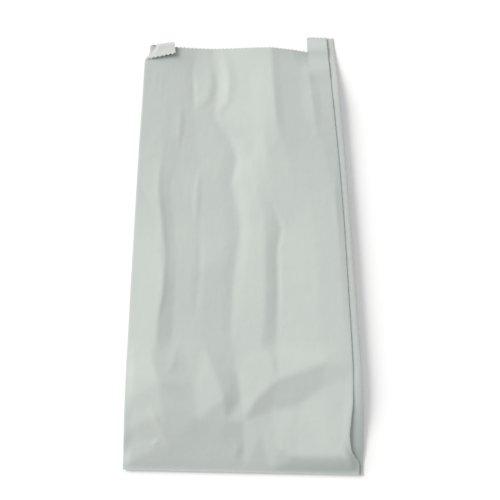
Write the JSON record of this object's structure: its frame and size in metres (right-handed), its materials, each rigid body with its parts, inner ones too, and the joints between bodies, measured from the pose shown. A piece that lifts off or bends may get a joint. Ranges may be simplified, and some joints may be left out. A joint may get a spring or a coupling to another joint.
{
  "type": "paper bag",
  "caption": "White gusseted flat paper bag for takeaway food, lying on its back with its mouth open and its surface creased.",
  "frame": {"origin": "middle of the bag's box, on the surface it lies on", "axes": "+X to the bag's right seen from its front, +Y from the bottom fold to the mouth, +Z out of the front panel"},
  "size_m": [0.175, 0.3764, 0.0116],
  "materials": {
    "paper": "matte bleached kraft with faint fibres and soft creases"
  },
  "bodies": {
    "root": {"paper_bag": "paper"}
  },
  "joints": []
}
